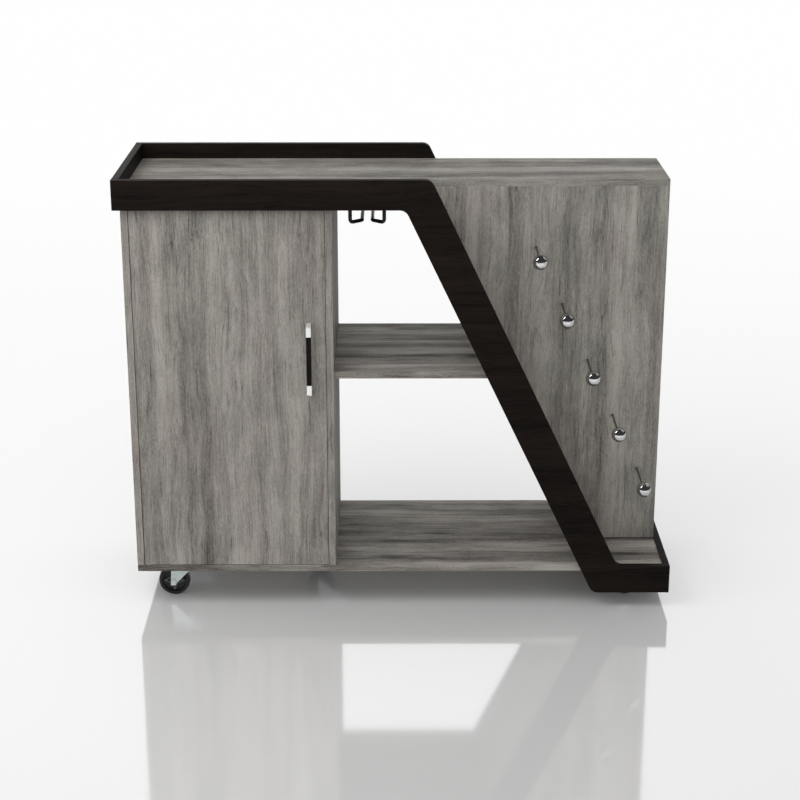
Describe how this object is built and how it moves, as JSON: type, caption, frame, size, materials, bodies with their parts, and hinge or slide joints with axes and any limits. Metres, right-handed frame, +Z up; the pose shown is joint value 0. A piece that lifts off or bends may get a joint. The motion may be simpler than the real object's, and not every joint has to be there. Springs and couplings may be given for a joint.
{
  "type": "bar cart",
  "caption": "Bar cart on swivel casters: grey boards between dark Z-shaped frames, with a door cabinet, open bays, a glass rack and pegs on a slanting line.",
  "frame": {"origin": "on the floor, under the middle of the cart's length and depth", "axes": "+Z up, +X along the length towards the peg end, -Y towards the front with the door"},
  "size_m": [1.2, 0.423, 0.972],
  "materials": {
    "grey_oak": "satin grey oak laminate",
    "espresso": "satin near-black stained wood",
    "back_sheet": "thin printed hardboard",
    "dowel_wood": "fluted beech",
    "zinc": "bright zinc plate",
    "bright_chrome": "polished",
    "black_lacquer": "gloss black",
    "black_wire": "gloss black",
    "black_wheel": "moulded black",
    "white_nylon": "moulded"
  },
  "bodies": {
    "carcass": {"top_panel": "grey_oak", "base_panel": "grey_oak", "left_side_panel": "grey_oak", "divider_panel": "grey_oak", "right_side_panel": "grey_oak", "slanted_panel": "grey_oak", "peg_panel": "grey_oak", "mid_shelf": "grey_oak", "cabinet_shelf": "grey_oak", "header_rail": "grey_oak", "front_frame": "espresso", "back_frame": "espresso", "tray_end_board": "espresso", "lower_end_board": "espresso", "cabinet_back_panel": "back_sheet", "dowels": "dowel_wood", "base_screws": "zinc", "shelf_pins": "zinc", "peg_nuts": "zinc", "rack_screws": "zinc", "caster_screws": "zinc", "caster_kingpins": "zinc", "caster_plates": "zinc", "pivot_bushes": "white_nylon", "catch_body": "white_nylon", "peg_rod_1": "bright_chrome", "peg_knob_1": "bright_chrome", "peg_rod_2": "bright_chrome", "peg_knob_2": "bright_chrome", "peg_rod_3": "bright_chrome", "peg_knob_3": "bright_chrome", "peg_rod_4": "bright_chrome", "peg_knob_4": "bright_chrome", "peg_rod_5": "bright_chrome", "peg_knob_5": "bright_chrome", "rack_wire_left": "black_wire", "rack_wire_right": "black_wire"},
    "door": {"door": "grey_oak", "pivot_pins": "zinc", "handle_bottom_end": "bright_chrome", "handle_top_end": "bright_chrome", "handle_grip": "black_lacquer", "handle_screws": "zinc", "catch_strike": "zinc"},
    "swivel_front_left": {"caster_fork_front_left": "zinc", "caster_axle_front_left": "zinc"},
    "wheel_front_left": {"caster_wheel_front_left": "black_wheel"},
    "swivel_front_right": {"caster_fork_front_right": "zinc", "caster_axle_front_right": "zinc"},
    "wheel_front_right": {"caster_wheel_front_right": "black_wheel"},
    "swivel_back_left": {"caster_fork_back_left": "zinc", "caster_axle_back_left": "zinc"},
    "wheel_back_left": {"caster_wheel_back_left": "black_wheel"},
    "swivel_back_right": {"caster_fork_back_right": "zinc", "caster_axle_back_right": "zinc"},
    "wheel_back_right": {"caster_wheel_back_right": "black_wheel"},
    "swivel_middle": {"caster_fork_middle": "zinc", "caster_axle_middle": "zinc"},
    "wheel_middle": {"caster_wheel_middle": "black_wheel"}
  },
  "joints": [
    {"name": "door_hinge", "type": "hinge", "parent": "carcass", "child": "door", "pos_m": [-0.561, -0.185, 0.5], "axis": [0, 0, -1], "range_deg": [0, 110]},
    {"name": "swivel_front_left", "type": "hinge", "parent": "carcass", "child": "swivel_front_left", "pos_m": [-0.484, -0.124, 0.077], "axis": [0, 0, 1], "continuous": true},
    {"name": "roll_front_left", "type": "hinge", "parent": "swivel_front_left", "child": "wheel_front_left", "pos_m": [-0.512, -0.124, 0.035], "axis": [0, 1, 0], "continuous": true},
    {"name": "swivel_front_right", "type": "hinge", "parent": "carcass", "child": "swivel_front_right", "pos_m": [0.484, -0.124, 0.077], "axis": [0, 0, 1], "continuous": true},
    {"name": "roll_front_right", "type": "hinge", "parent": "swivel_front_right", "child": "wheel_front_right", "pos_m": [0.512, -0.124, 0.035], "axis": [0, 1, 0], "continuous": true},
    {"name": "swivel_back_left", "type": "hinge", "parent": "carcass", "child": "swivel_back_left", "pos_m": [-0.484, 0.124, 0.077], "axis": [0, 0, 1], "continuous": true},
    {"name": "roll_back_left", "type": "hinge", "parent": "swivel_back_left", "child": "wheel_back_left", "pos_m": [-0.512, 0.124, 0.035], "axis": [0, 1, 0], "continuous": true},
    {"name": "swivel_back_right", "type": "hinge", "parent": "carcass", "child": "swivel_back_right", "pos_m": [0.484, 0.124, 0.077], "axis": [0, 0, 1], "continuous": true},
    {"name": "roll_back_right", "type": "hinge", "parent": "swivel_back_right", "child": "wheel_back_right", "pos_m": [0.512, 0.124, 0.035], "axis": [0, 1, 0], "continuous": true},
    {"name": "swivel_middle", "type": "hinge", "parent": "carcass", "child": "swivel_middle", "pos_m": [-0.156, 0.008, 0.077], "axis": [0, 0, 1], "continuous": true},
    {"name": "roll_middle", "type": "hinge", "parent": "swivel_middle", "child": "wheel_middle", "pos_m": [-0.184, 0.008, 0.035], "axis": [0, 1, 0], "continuous": true}
  ]
}
